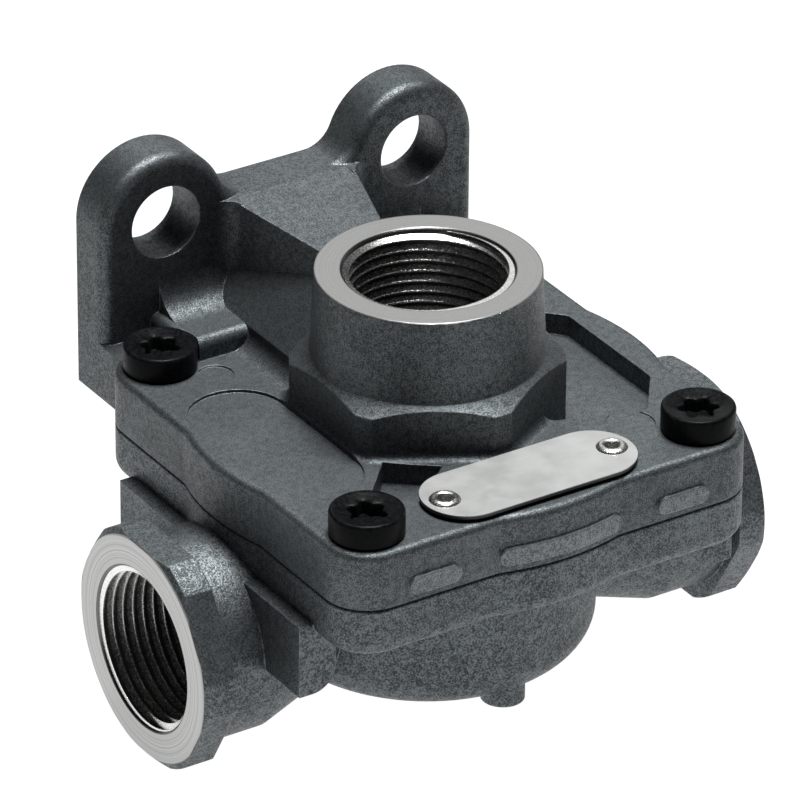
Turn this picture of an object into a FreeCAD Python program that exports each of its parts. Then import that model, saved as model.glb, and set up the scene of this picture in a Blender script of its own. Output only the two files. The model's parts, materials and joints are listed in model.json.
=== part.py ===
import FreeCAD, Part
import os
import re

import Sketcher

# A pneumatic quick release valve: two cast housings screwed together round a rubber diaphragm.
# The port axis is the Z line through X 0, Y 0, and Z 0 is the top face of the upper flange.
# Every finished piece is then moved so that the origin lies on the back face, midway between
# the two mounting holes.

SIZES = [
    ("hole_pitch", 38.1, "distance between the mounting holes"),
    ("hole_rise", 15.8, "mounting holes above the flange top"),
    ("hole_dia", 10.2, "mounting hole"),
    ("lug_radius", 9.5, "rounded top of each lug"),
    ("plate_reach", 33.25, "port axis to the front face of the mounting plate"),
    ("plate_thick", 6.75, "mounting plate"),
    ("plate_round", 1.6, "rounded front edge of the lugs"),
    ("plate_foot", 4.5, "hollow round where the plate meets the flange"),
    ("saddle_rise", 16.5, "top of the plate between the lugs"),
    ("saddle_fillet", 4.4, "hollow round from the saddle up to a lug"),
    ("neck_back", 18.8, "width of the neck at the plate"),
    ("neck_inner", 10.0, "inner end of the neck, inside the boss, from the axis"),
    ("neck_front", 6.0, "width of the neck at its inner end"),
    ("neck_front_rise", 13.6, "top of the neck at its inner end"),
    ("neck_foot", 24.8, "width of the neck at its foot"),
    ("neck_fillet", 2.6, "hollow round at the foot of the neck"),
    ("shelf_inner", 6.4, "inner end of the raised shelf, inside the neck"),
    ("shelf_end", 21.5, "outer end of the raised shelf, from the axis"),
    ("shelf_deep", 9.75, "raised shelf in front of the plate"),
    ("shelf_rise", 3.0, "height of the raised shelf"),
    ("shelf_round", 1.4, "rounded front edge of the shelf"),
    ("flange_width", 62.0, "square flange over its flat sides"),
    ("ear_radius", 6.2, "corner of the flange round a screw"),
    ("bulge_proud", 1.3, "round sides over the diaphragm chamber, beyond the flat sides"),
    ("bulge_fillet", 3.5, "hollow round from a side to the bulge"),
    ("cover_thick", 8.0, "flange of the upper housing"),
    ("cover_round", 1.0, "top edge of the flange"),
    ("base_thick", 7.0, "flange of the lower housing"),
    ("base_round", 2.2, "bottom edge of the flange"),
    ("joint_round", 0.35, "edge of either flange at the joint"),
    ("ear_wall", 6.0, "cover screw to the flat side of the flange"),
    ("screw_dia", 6.0, "cover screw thread"),
    ("screw_clearance", 0.3, "radial room round a screw in the upper housing"),
    ("tapped_clearance", 0.05, "radial room round a screw in the lower housing"),
    ("screw_reach", 14.0, "length of a screw under its head"),
    ("screw_head_dia", 9.7, "screw head"),
    ("screw_head_tall", 3.5, "height of a screw head"),
    ("head_room", 0.4, "radial room round a screw head"),
    ("screw_head_round", 0.6, "rounded top edge of a screw head"),
    ("drive_dia", 3.9, "six-lobe recess over its waists"),
    ("drive_lobe_dia", 1.5, "one lobe of the recess"),
    ("drive_depth", 2.2, "depth of the recess"),
    ("collar_flats", 32.0, "hexagon at the foot of the boss"),
    ("collar_corners", 35.6, "diameter over the turned-off corners"),
    ("collar_rise", 7.3, "top of the hexagon at the boss"),
    ("collar_foot", 1.3, "hollow round at the foot of the hexagon"),
    ("corner_angle", 30.0, "slope that takes off the hexagon corners"),
    ("boss_base_dia", 30.4, "boss at the hexagon"),
    ("boss_top_dia", 29.3, "boss at its machined end"),
    ("boss_rise", 18.8, "machined end of the boss"),
    ("thread_dia", 22.0, "port thread, outside diameter"),
    ("thread_depth", 14.5, "port thread"),
    ("lead_in", 0.3, "chamfer at the mouth of a port"),
    ("inlet_dia", 16.0, "passage from the upper port to the diaphragm"),
    ("chamber_wall", 1.75, "wall between the diaphragm chamber and the seal groove"),
    ("chamber_rise", 4.2, "chamber in the upper housing"),
    ("chamber_drop", 3.6, "chamber in the lower housing"),
    ("seat_width", 1.7, "wall of either valve seat"),
    ("seat_gap", 0.15, "diaphragm to a seat, at each end of its travel"),
    ("diaphragm_room", 0.5, "diaphragm to the chamber wall"),
    ("diaphragm_thick", 2.2, "diaphragm web"),
    ("diaphragm_lip", 1.0, "extra height of the diaphragm lip"),
    ("lip_width", 2.4, "diaphragm lip, radially"),
    ("lift", 1.6, "travel of the diaphragm"),
    ("outlet_seat_drop", 1.6, "outlet seat below the joint face"),
    ("outlet_dia", 17.0, "outlet passage"),
    ("outlet_mouth_dia", 19.0, "outlet at the bottom face"),
    ("outlet_mouth_deep", 3.0, "depth of the outlet's wider mouth"),
    ("gallery_dia", 36.0, "ring gallery round the outlet tube"),
    ("bowl_floor", 4.9, "floor of the bowl under the ring gallery"),
    ("tube_wall", 2.2, "wall of the outlet tube"),
    ("seal_section", 2.6, "housing seal cord"),
    ("seal_chamfer", 0.65, "corner of the housing seal"),
    ("groove_wall", 4.3, "wall between the seal groove and a screw hole"),
    ("groove_width", 3.0, "seal groove"),
    ("groove_depth", 2.65, "seal groove"),
    ("bowl_dia", 44.4, "bowl of the lower housing"),
    ("bowl_drop", 34.4, "bottom of the bowl below the flange top"),
    ("bowl_round", 5.0, "bottom edge of the bowl"),
    ("bowl_fillet", 3.0, "hollow round from the bowl to the flange"),
    ("port_drop", 24.05, "side port axis below the flange top"),
    ("port_span", 86.1, "side ports, face to face"),
    ("port_flats", 30.0, "hexagon of a side port"),
    ("port_corners", 32.2, "diameter over the turned-off corners"),
    ("port_face_dia", 30.1, "machined face ring of a side port"),
    ("port_hex_long", 4.5, "hexagon of a side port, along its axis"),
    ("port_neck_dia", 27.8, "round neck of a side port"),
    ("neck_end", 30.5, "where the round neck starts to narrow"),
    ("neck_root", 18.0, "where the narrowing neck ends inside the bowl"),
    ("neck_root_dia", 20.0, "neck at its root"),
    ("passage_dia", 15.0, "passage from a side port to the gallery"),
    ("cheek_proud", 0.7, "cheek plate beyond the round sides of the flange"),
    ("cheek_thick", 5.4, "cheek plate"),
    ("cheek_length", 44.0, "cheek plate along the mounting direction"),
    ("cheek_top", 13.0, "top of a cheek plate below the flange top"),
    ("cheek_bottom", 23.2, "bottom of a cheek plate below the flange top"),
    ("cheek_round", 3.4, "inner lower edge of a cheek plate"),
    ("nub_dia", 5.8, "locating nub under the bowl"),
    ("nub_reach", 18.5, "nub in front of the axis"),
    ("nub_tall", 0.9, "nub below the bowl"),
    ("pocket_deep", 3.0, "cast pockets in the flange top"),
    ("pocket_corner", 1.5, "corner of a cast pocket"),
    ("pocket_rim", 3.5, "right pocket to the side of the flange"),
    ("pocket_back", 11.0, "back wall of the right pocket"),
    ("pocket_bevel", 2.3, "cut corner of the right pocket"),
    ("pocket_turn", 10.5, "where the outer wall turns in, in front of the axis"),
    ("pocket_nose_x", 22.0, "front corner of the right pocket"),
    ("pocket_nose_y", 17.9, "front corner of the right pocket"),
    ("pocket_root_x", 8.8, "inner end of the right pocket, under the hexagon"),
    ("pocket_root_y", 13.0, "front wall of the right pocket at its inner end"),
    ("panel_long", 31.0, "shallow panel on the left"),
    ("panel_wide", 13.3, "shallow panel on the left"),
    ("panel_inset", 8.0, "middle of the shallow panel to the side of the flange"),
    ("panel_deep", 0.4, "shallow panel"),
    ("nook_hex_x", 14.0, "small front pocket, corner at the hexagon"),
    ("nook_hex_y", 11.3, "small front pocket, corner at the hexagon"),
    ("nook_side_x", 19.8, "small front pocket, outer corner"),
    ("nook_side_y", 17.6, "small front pocket, outer corner"),
    ("nook_front_x", 15.4, "small front pocket, corner at the screw"),
    ("nook_front_y", 22.0, "small front pocket, corner at the screw"),
    ("nook_label_x", 8.0, "small front pocket, corner at the label"),
    ("nook_label_y", 16.0, "small front pocket, corner at the label"),
    ("mark_dia", 4.8, "round ejector mark at the back"),
    ("mark_back_x", 19.95, "ejector mark at the back, from the axis"),
    ("mark_back_y", 19.55, "ejector mark at the back, from the axis"),
    ("mark_front_dia", 6.6, "round ejector mark at the front"),
    ("mark_front_x", 18.35, "ejector mark at the front, from the axis"),
    ("mark_front_y", 19.3, "ejector mark at the front, from the axis"),
    ("mark_deep", 0.2, "either ejector mark"),
    ("bar_drop", 5.6, "raised bars below the flange top"),
    ("bar_tall", 2.5, "raised bar"),
    ("bar_proud", 0.4, "raised bar"),
    ("bar_root", 3.0, "raised bar inside the flange"),
    ("bar_long", 18.4, "middle raised bar"),
    ("side_bar_long", 7.7, "outer raised bar"),
    ("side_bar_x", 18.7, "outer raised bar from the axis"),
    ("label_gap", 4.75, "label plate to a screw head, if it were in the middle"),
    ("label_clear", 1.05, "label plate to the corner of the hexagon"),
    ("label_margin", 1.9, "label plate to the front of the flange"),
    ("label_side", 0.6, "middle of the label plate to the left of the axis"),
    ("label_thick", 0.5, "label plate"),
    ("label_pad", 0.5, "pad under the label plate"),
    ("label_overhang", 0.7, "label plate beyond its pad"),
    ("rivet_inset", 2.8, "rivet to the end of the label plate"),
    ("rivet_dia", 2.4, "rivet shank"),
    ("rivet_hole_dia", 1.5, "hole down a tubular rivet"),
    ("rivet_head_dia", 4.2, "rivet head"),
    ("rivet_head_tall", 0.45, "rivet head"),
    ("rivet_reach", 5.0, "rivet below the label plate"),
    ("rivet_clearance", 0.05, "radial room round a rivet"),
    ("rivet_spare", 0.5, "hole beyond the end of a rivet"),
    ("overrun", 1.0, "how far a cut runs past a face, and a joined piece into its neighbour"),
]

# Sizes that follow from others: what lies between the screws, the seal and the chamber moves with the flange
SCREW_AT = "(flange_width / 2 - ear_wall)"
BULGE = "(flange_width / 2 + bulge_proud)"
GROOVE_OUTER = f"({SCREW_AT} * sqrt(2) - screw_dia / 2 - screw_clearance - groove_wall)"
GROOVE_INNER = f"({GROOVE_OUTER} - groove_width)"
CHAMBER = f"({GROOVE_INNER} - chamber_wall)"
DIAPHRAGM_LOW = "seat_gap - cover_thick - outlet_seat_drop"
CHEEK_FACE = f"({BULGE} + cheek_proud)"
NECK_TAPER = "((neck_back - neck_front) / 2 / (plate_reach - neck_inner))"
LABEL_LONG = f"(2 * {SCREW_AT} - screw_head_dia - 2 * label_gap)"
LABEL_WIDE = f"({BULGE} - label_margin - collar_corners / 2 - label_clear)"
LABEL_REACH = f"(collar_corners / 2 + label_clear + {LABEL_WIDE} / 2)"
RIVET_AT = f"({LABEL_LONG} / 2 - rivet_inset)"

# Two places closer than this count as the same
NEAR = 0.01

doc = FreeCAD.newDocument("QuickReleaseValve")
sheet = doc.addObject("Spreadsheet::Sheet", "Sizes")
for row, (alias, value, note) in enumerate(SIZES, start=1):
    sheet.set(f"A{row}", note)
    sheet.set(f"B{row}", str(value))
    sheet.setAlias(f"B{row}", alias)
doc.recompute()

ALIASES = {alias for alias, value, note in SIZES}


def tie(text):
    """Turn a formula of size names into an expression on the sheet's cells."""
    return re.sub(r"[a-z][a-z_]*", lambda m: "Sizes." + m[0] if m[0] in ALIASES else m[0], text)


def size(text):
    """The present value of a formula of size names."""
    return float(sheet.evalExpression(tie(text)))


def bind(thing, **formulas):
    for prop, formula in formulas.items():
        thing.setExpression(prop, tie(formula))
    return thing


def put(thing, at, turn=None):
    """Place an object at three formulas, with an optional turn about an axis."""
    if turn:
        axis, angle = turn
        thing.Placement.Rotation = FreeCAD.Rotation(FreeCAD.Vector(*axis), angle)
    for letter, formula in zip("xyz", at):
        thing.setExpression("Placement.Base." + letter, tie(formula))
    return thing


# Turns that lay a piece made along Z out along another axis
ALONG = {"Z": None, "X": ((0, 1, 0), 90), "Y": ((1, 0, 0), -90)}


def box(name, at, span):
    made = doc.addObject("Part::Box", name)
    bind(made, Length=span[0], Width=span[1], Height=span[2])
    return put(made, at)


def cylinder(name, dia, length, at, along="Z"):
    made = bind(doc.addObject("Part::Cylinder", name), Radius=f"({dia}) / 2", Height=length)
    return put(made, at, ALONG[along])


def cone(name, dia_low, dia_high, length, at, along="Z"):
    made = doc.addObject("Part::Cone", name)
    bind(made, Radius1=f"({dia_low}) / 2", Radius2=f"({dia_high}) / 2", Height=length)
    return put(made, at, ALONG[along])


def hexagon(name, flats, length, at, along="Z"):
    made = doc.addObject("Part::Prism", name)
    made.Polygon = 6
    bind(made, Circumradius=f"({flats}) / 2 / cos(30)", Height=length)
    return put(made, at, ALONG[along])


def fuse(name, *pieces):
    made = doc.addObject("Part::MultiFuse", name)
    made.Shapes = list(pieces)
    made.Refine = True
    return made


def cut(name, base, *tools):
    made = doc.addObject("Part::Cut", name)
    made.Base = base
    made.Tool = tools[0] if len(tools) == 1 else fuse(name + "Tools", *tools)
    made.Refine = True
    return made


def common(name, first, second):
    made = doc.addObject("Part::Common", name)
    made.Base = first
    made.Tool = second
    return made


def mirror(name, source, normal=(1, 0, 0)):
    made = doc.addObject("Part::Mirroring", name)
    made.Source = source
    made.Normal = normal
    return made


def rounded(name, base, radius, wanted):
    """Round every edge of an object for which wanted(edge) is true."""
    doc.recompute()
    made = doc.addObject("Part::Fillet", name)
    made.Base = base
    r = size(radius)
    made.Edges = [(i, r, r) for i, edge in enumerate(base.Shape.Edges, start=1) if wanted(edge)]
    return made


def upright(edge):
    """True for a straight edge along Z."""
    bounds = edge.BoundBox
    return bounds.ZLength > NEAR and bounds.XLength < NEAR and bounds.YLength < NEAR


def at_height(edge, z):
    """True for an edge that lies in the plane at height z."""
    return edge.BoundBox.ZLength < NEAR and abs(edge.BoundBox.ZMin - z) < NEAR


def outline(name, corners, owner=None):
    """A closed sketch of straight sides, each corner held by two formulas."""
    if owner:
        sketch = owner.newObject("Sketcher::SketchObject", name)
        plane = [p for p in owner.Origin.OriginFeatures if p.Role == "XZ_Plane"][0]
        sketch.AttachmentSupport = (plane, [""])
        sketch.MapMode = "FlatFace"
    else:
        sketch = doc.addObject("Sketcher::SketchObject", name)
    points = [FreeCAD.Vector(size(x), size(y), 0) for x, y in corners]
    for start, end in zip(points, points[1:] + points[:1]):
        sketch.addGeometry(Part.LineSegment(start, end), False)
    for i in range(len(points)):
        sketch.addConstraint(Sketcher.Constraint("Coincident", i, 2, (i + 1) % len(points), 1))
    for i, (x, y) in enumerate(corners):
        for way, formula in (("X", x), ("Y", y)):
            held = sketch.addConstraint(Sketcher.Constraint("Distance" + way, -1, 1, i, 1, size(formula)))
            sketch.setExpression(f"Constraints[{held}]", tie(formula))
    return sketch


def prism(name, corners, low, tall):
    """A plan outline extruded upwards from one height."""
    made = doc.addObject("Part::Extrusion", name)
    made.Base = outline(name + "Plan", corners)
    made.DirMode = "Custom"
    made.Dir = (0, 0, 1)
    made.Solid = True
    bind(made, LengthFwd=tall)
    return put(made, ("0", "0", low))


def turned(name, corners):
    """A body turned about Z from corners given as radius and height."""
    body = doc.addObject("PartDesign::Body", name)
    profile = outline(name + "Profile", corners, body)
    turn = body.newObject("PartDesign::Revolution", name + "Turn")
    turn.Profile = profile
    turn.ReferenceAxis = (profile, ["V_Axis"])
    turn.Angle = 360
    return body


def stadium(name, length, width, at, tall, along="X"):
    """A flat plate with two round ends, centred on a point."""
    length, width = f"({length})", f"({width})"
    half = f"({length} - {width}) / 2"
    x, y, z = at
    if along == "X":
        corner, span = (f"{x} - {half}", f"{y} - {width} / 2", z), (f"2 * {half}", width, tall)
        ends = [(f"{x} - {half}", y, z), (f"{x} + {half}", y, z)]
    else:
        corner, span = (f"{x} - {width} / 2", f"{y} - {half}", z), (width, f"2 * {half}", tall)
        ends = [(x, f"{y} - {half}", z), (x, f"{y} + {half}", z)]
    bar = box(name + "Bar", corner, span)
    rounds = [cylinder(f"{name}End{i}", width, tall, end) for i, end in enumerate(ends)]
    return fuse(name, bar, *rounds)


# Places of the four cover screws, by the side of the valve that they are on
SCREWS = {
    "front_left": ("-" + SCREW_AT, "-" + SCREW_AT),
    "front_right": (SCREW_AT, "-" + SCREW_AT),
    "back_left": ("-" + SCREW_AT, SCREW_AT),
    "back_right": (SCREW_AT, SCREW_AT),
}


def flange(name, bottom, thick, joint):
    """The square flange with rounded ears and bulging sides that both housings share."""
    square = box(name + "Square", ("-flange_width / 2", "-flange_width / 2", bottom),
                 ("flange_width", "flange_width", thick))
    eared = rounded(name + "Eared", square, "ear_radius", upright)
    disc = cylinder(name + "Disc", f"2 * {BULGE}", thick, ("0", "0", bottom))
    both = fuse(name + "Both", eared, disc)
    ear_start = size("flange_width / 2 - ear_radius") - NEAR
    waisted = rounded(name + "Waisted", both, "bulge_fillet",
                      lambda e: upright(e) and min(abs(e.BoundBox.XMin), abs(e.BoundBox.YMin)) < ear_start)
    return rounded(name + "Joint", waisted, "joint_round", lambda e: at_height(e, size(joint)))


def screw_holes(name, bottom, length, clearance):
    return fuse(name, *[cylinder(f"{name}_{side}", f"screw_dia + 2 * {clearance}", length, (*place, bottom))
                        for side, place in SCREWS.items()])


def mounting_plate():
    """The upright plate: two round-topped lugs with a saddle between, on a root block."""
    bottom = "-cover_thick"
    skirt = box("PlateSkirt", ("-hole_pitch / 2 - lug_radius", "plate_reach", bottom),
                ("hole_pitch + 2 * lug_radius", "plate_thick", "cover_thick + hole_rise"))
    web = box("PlateWeb", ("-hole_pitch / 2", "plate_reach", bottom),
              ("hole_pitch", "plate_thick", "cover_thick + saddle_rise"))
    lugs = [cylinder(f"Lug{side}", "2 * lug_radius", "plate_thick",
                     (f"{sign}hole_pitch / 2", "plate_reach", "hole_rise"), "Y")
            for side, sign in (("Left", "-"), ("Right", ""))]
    plate = fuse("PlateRaw", skirt, web, *lugs)
    saddle = size("saddle_rise")
    hollow = rounded("PlateSaddle", plate, "saddle_fillet",
                     lambda e: e.BoundBox.YLength > NEAR and abs(e.BoundBox.ZMin - saddle) < NEAR
                     and abs(e.BoundBox.XMin) < size("hole_pitch / 2"))
    front, foot = size("plate_reach"), -size("cover_thick")
    return rounded("PlateRounded", hollow, "plate_round",
                   lambda e: e.BoundBox.YLength < NEAR and abs(e.BoundBox.YMin - front) < NEAR
                   and e.BoundBox.ZMax > foot + NEAR)


def neck_corner():
    """Upright hollow round in the corner between the neck and the plate, on the right."""
    lean = f"sqrt(1 + {NECK_TAPER} ^ 2)"
    centre_x = f"neck_back / 2 + neck_fillet * ({lean} - {NECK_TAPER})"
    centre_y = "plate_reach - neck_fillet"
    wall_x = f"{centre_x} - neck_fillet / {lean}"
    wall_y = f"{centre_y} + neck_fillet * {NECK_TAPER} / {lean}"
    inside_x, inside_y = "neck_back / 2 - overrun", "plate_reach + overrun"
    wedge = prism("NeckCornerWedge", [
        (inside_x, inside_y), (inside_x, wall_y), (wall_x, wall_y), (centre_x, centre_y),
        (centre_x, inside_y)], "0", "saddle_rise")
    round_tool = cylinder("NeckCornerRound", "2 * neck_fillet", "saddle_rise + 2 * overrun",
                          (centre_x, centre_y, "-overrun"))
    return cut("NeckCornerRight", wedge, round_tool)


def plate_shelf():
    """The raised shelf at the foot of the plate, on the right, with its hollow round."""
    block = box("ShelfBlock", ("shelf_inner", "plate_reach - shelf_deep", "-cover_thick / 2"),
                ("shelf_end - shelf_inner", "shelf_deep + plate_thick / 2", "shelf_rise + cover_thick / 2"))
    front = size("plate_reach - shelf_deep") + NEAR
    side, top = size("shelf_end") - NEAR, size("shelf_rise")
    block = rounded("ShelfRounded", block, "shelf_round",
                    lambda e: at_height(e, top) and (e.BoundBox.YMax < front or e.BoundBox.XMin > side))
    strip = box("FootStrip", ("shelf_inner", "plate_reach - plate_foot", "shelf_rise - overrun"),
                ("shelf_end - shelf_inner - shelf_round", "plate_foot + overrun", "plate_foot + overrun"))
    hollow = cylinder("FootRound", "2 * plate_foot", "shelf_end",
                      ("0", "plate_reach - plate_foot", "shelf_rise + plate_foot"), "X")
    return fuse("ShelfRight", block, cut("FootHollow", strip, hollow))


def collar_and_foot():
    """Hexagon with turned-off corners, and the same standing on a disc with a hollow round."""
    low = "-cover_thick / 2"
    hexa = hexagon("CollarHex", "collar_flats", "collar_rise + cover_thick / 2", ("0", "0", low))
    hexa.Placement.Rotation = FreeCAD.Rotation(FreeCAD.Vector(0, 0, 1), 30)
    taper = "(collar_corners - boss_base_dia) / 2 * tan(corner_angle)"
    shoulder = f"collar_rise - {taper}"
    skirt = cylinder("CollarSkirt", "collar_corners", f"{shoulder} + cover_thick / 2", ("0", "0", low))
    turned_end = cone("CollarCone", "collar_corners", "boss_base_dia", taper, ("0", "0", shoulder))
    collar = common("Collar", hexa, fuse("CollarTurned", skirt, turned_end))
    disc = cylinder("CollarDisc", "collar_corners + 4 * collar_foot", "cover_thick / 2", ("0", "0", low))
    standing = fuse("CollarOnDisc", collar, disc)
    reach = size("collar_corners") / 2
    footed = rounded("CollarFooted", standing, "collar_foot",
                     lambda e: at_height(e, 0) and e.BoundBox.DiagonalLength < 1.5 * reach)
    return collar, footed


def upper_housing():
    cover = flange("Cover", "-cover_thick", "cover_thick", "-cover_thick")
    cover = rounded("CoverRounded", cover, "cover_round", lambda e: at_height(e, 0))
    root = box("RootBlock", ("-hole_pitch / 2 - lug_radius", SCREW_AT, "-cover_thick"),
               ("hole_pitch + 2 * lug_radius", f"plate_reach + plate_thick / 2 - {SCREW_AT}", "cover_thick"))
    plate = mounting_plate()

    # The neck is a wedge from the plate to inside the boss
    neck = doc.addObject("Part::Wedge", "Neck")
    bind(neck, Xmin="-neck_front / 2", Xmax="neck_front / 2", X2min="-neck_back / 2", X2max="neck_back / 2",
         Ymin="neck_inner", Ymax="plate_reach", Zmin="-cover_thick / 2", Z2min="-cover_thick / 2",
         Zmax="neck_front_rise", Z2max="saddle_rise")
    bridge = box("NeckBridge", ("-neck_back / 2", "plate_reach", "0"),
                 ("neck_back", "plate_thick / 2", "saddle_rise"))

    # Below, the neck spreads to a wide foot as high as the shelf beside it
    foot = box("NeckFoot", ("-neck_foot / 2", "neck_inner", "-cover_thick / 2"),
               ("neck_foot", "plate_reach - neck_inner", "shelf_rise + cover_thick / 2"))
    spread = doc.addObject("Part::Wedge", "NeckSpread")
    bind(spread, Xmin="-neck_foot / 2", Xmax="neck_foot / 2", X2min="-neck_front / 2", X2max="neck_front / 2",
         Ymin="shelf_rise", Ymax="neck_front_rise", Zmin="-plate_reach", Z2min="-plate_reach",
         Zmax="-neck_inner", Z2max="-neck_inner")
    spread.Placement.Rotation = FreeCAD.Rotation(FreeCAD.Vector(1, 0, 0), 90)

    body = fuse("CoverWithPlate", cover, root, plate, neck, bridge, foot, spread)
    neck_run = size("plate_reach - neck_inner")
    body = rounded("NeckFooted", body, "neck_fillet",
                   lambda e: at_height(e, 0) and abs(e.BoundBox.YLength - neck_run) < NEAR)
    corner = neck_corner()
    shelf = plate_shelf()
    body = fuse("CoverShelved", body, corner, mirror("NeckCornerLeft", corner),
                shelf, mirror("ShelfLeft", shelf))

    # Shallow and deep cast recesses in the flange top
    pocket_side = "flange_width / 2 - pocket_rim"
    right_pocket = prism("RightPocketRaw", [
        (pocket_side, "pocket_back - pocket_bevel"), (pocket_side, "-pocket_turn"),
        ("pocket_nose_x", "-pocket_nose_y"), ("pocket_root_x", "-pocket_root_y"),
        ("pocket_root_x", "pocket_back"), (f"{pocket_side} - pocket_bevel", "pocket_back")],
        "-pocket_deep", "2 * pocket_deep")
    right_pocket = rounded("RightPocket", right_pocket, "pocket_corner",
                           lambda e: upright(e) and e.BoundBox.XMin > size("pocket_root_x") + NEAR)
    nook = prism("Nook", [
        ("-nook_hex_x", "-nook_hex_y"), ("-nook_side_x", "-nook_side_y"),
        ("-nook_front_x", "-nook_front_y"), ("-nook_label_x", "-nook_label_y")],
        "-pocket_deep", "2 * pocket_deep")
    marks = [cylinder(f"Mark{side}", dia, "2 * mark_deep", (x, y, "-mark_deep"))
             for side, dia, x, y in (("Back", "mark_dia", "-mark_back_x", "mark_back_y"),
                                     ("Front", "mark_front_dia", "mark_front_x", "-mark_front_y"))]
    panel = stadium("Panel", "panel_long", "panel_wide",
                    ("panel_inset - flange_width / 2", "0", "-panel_deep"), "2 * panel_deep", "Y")
    collar, footed = collar_and_foot()
    pockets = cut("PocketsRoundCollar", fuse("Pockets", right_pocket, nook), collar)
    body = cut("CoverRecessed", fuse("CoverCollared", body, footed), pockets, panel, *marks)
    boss = cone("Boss", "boss_base_dia", "boss_top_dia", "boss_rise - collar_rise", ("0", "0", "collar_rise"))
    pad = stadium("LabelPad", f"{LABEL_LONG} - 2 * label_overhang", f"{LABEL_WIDE} - 2 * label_overhang",
                  ("-label_side", "-" + LABEL_REACH, "-cover_thick / 2"), "label_pad + cover_thick / 2")
    body = fuse("UpperSolid", body, boss, pad, *cover_bars())

    # Everything that is bored, drilled or moulded out
    thread = cylinder("InletThread", "thread_dia", "thread_depth", ("0", "0", "boss_rise - thread_depth"))
    mouth = cone("InletLeadIn", "thread_dia", "thread_dia + 2 * lead_in", "lead_in",
                 ("0", "0", "boss_rise - lead_in"))
    inlet = cylinder("InletPassage", "inlet_dia", "boss_rise - thread_depth + cover_thick",
                     ("0", "0", "-cover_thick"))
    inlet_seat = f"{DIAPHRAGM_LOW} + diaphragm_thick + lift + seat_gap"
    chamber = cut("UpperChamber",
                  cylinder("ChamberBore", f"2 * {CHAMBER}", "chamber_rise", ("0", "0", "-cover_thick")),
                  cylinder("InletSeat", "inlet_dia + 2 * seat_width", "chamber_rise", ("0", "0", inlet_seat)))
    holes = [cylinder(f"MountingHole{side}", "hole_dia", "plate_thick",
                      (f"{sign}hole_pitch / 2", "plate_reach", "hole_rise"), "Y")
             for side, sign in (("Left", "-"), ("Right", ""))]
    rivet_end = "label_pad - rivet_reach - rivet_spare"
    rivets = [cylinder(f"RivetHole{side}", "rivet_dia + 2 * rivet_clearance", "rivet_reach + rivet_spare",
                       (f"{sign}{RIVET_AT} - label_side", "-" + LABEL_REACH, rivet_end))
              for side, sign in (("Left", "-"), ("Right", ""))]
    seat_dia = "screw_head_dia + 2 * head_room"
    seats = [cylinder(f"HeadSeat_{side}", seat_dia, "2 * screw_head_tall", (*place, "0"))
             for side, place in SCREWS.items()]
    return cut("upper_housing", body, thread, mouth, inlet, chamber, *holes, *rivets, *seats,
               screw_holes("CoverScrewHoles", "-cover_thick", "cover_thick", "screw_clearance"))


def cover_bar(name, x, length, front):
    """A raised bar with round ends, from inside the flange to a plane in front of it."""
    straight = f"({length} - bar_tall)"
    deep = f"{front} - flange_width / 2 + bar_root"
    bar = box(name + "Bar", (f"{x} - {straight} / 2", f"-({front})", "-bar_drop - bar_tall / 2"),
              (straight, deep, "bar_tall"))
    ends = [cylinder(f"{name}End{i}", "bar_tall", deep,
                     (f"{x} {sign} {straight} / 2", f"-({front})", "-bar_drop"), "Y")
            for i, sign in enumerate("-+")]
    return fuse(name, bar, *ends)


def cover_bars():
    """Three raised bars on the front edge of the upper flange."""
    skin = cylinder("BarSkin", f"2 * ({BULGE} + bar_proud)", "cover_thick", ("0", "0", "-cover_thick"))
    middle = common("MiddleBar", cover_bar("MiddleBarRaw", "0", "bar_long", f"{BULGE} + overrun"), skin)
    side = cover_bar("SideBarRight", "side_bar_x", "side_bar_long", "flange_width / 2 + bar_proud")
    return middle, side, mirror("SideBarLeft", side)


def side_port():
    """One side port on the right: hexagon, round neck and the cheek plate behind it."""
    hex_start = "port_span / 2 - port_hex_long"
    hexa = hexagon("PortHex", "port_flats", "port_hex_long", (hex_start, "0", "-port_drop"), "X")
    hexa.Placement.Rotation = FreeCAD.Rotation(FreeCAD.Vector(0, 1, 0), 90).multiply(
        FreeCAD.Rotation(FreeCAD.Vector(0, 0, 1), 30))
    taper = "(port_corners - port_face_dia) / 2 * tan(corner_angle)"
    start = (hex_start, "0", "-port_drop")
    skirt = cylinder("PortSkirt", "port_corners", f"port_hex_long - {taper}", start, "X")
    turned_end = cone("PortCone", "port_corners", "port_face_dia", taper,
                      (f"port_span / 2 - {taper}", "0", "-port_drop"), "X")
    head = common("PortHead", hexa, fuse("PortTurned", skirt, turned_end))
    neck = cylinder("PortNeck", "port_neck_dia", f"{hex_start} - neck_end",
                    ("neck_end", "0", "-port_drop"), "X")
    root = cone("PortRoot", "neck_root_dia", "port_neck_dia", "neck_end - neck_root",
                ("neck_root", "0", "-port_drop"), "X")
    cheek = box("CheekRaw", (f"{CHEEK_FACE} - cheek_thick", "-cheek_length / 2", "-cheek_bottom"),
                ("cheek_thick", "cheek_length", "cheek_bottom - cheek_top"))
    inner, bottom = size(f"{CHEEK_FACE} - cheek_thick"), -size("cheek_bottom")
    cheek = rounded("Cheek", cheek, "cheek_round",
                    lambda e: e.BoundBox.XMax < inner + NEAR and e.BoundBox.ZMax < bottom + NEAR)
    return fuse("SidePort", head, neck, root, cheek)


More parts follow.
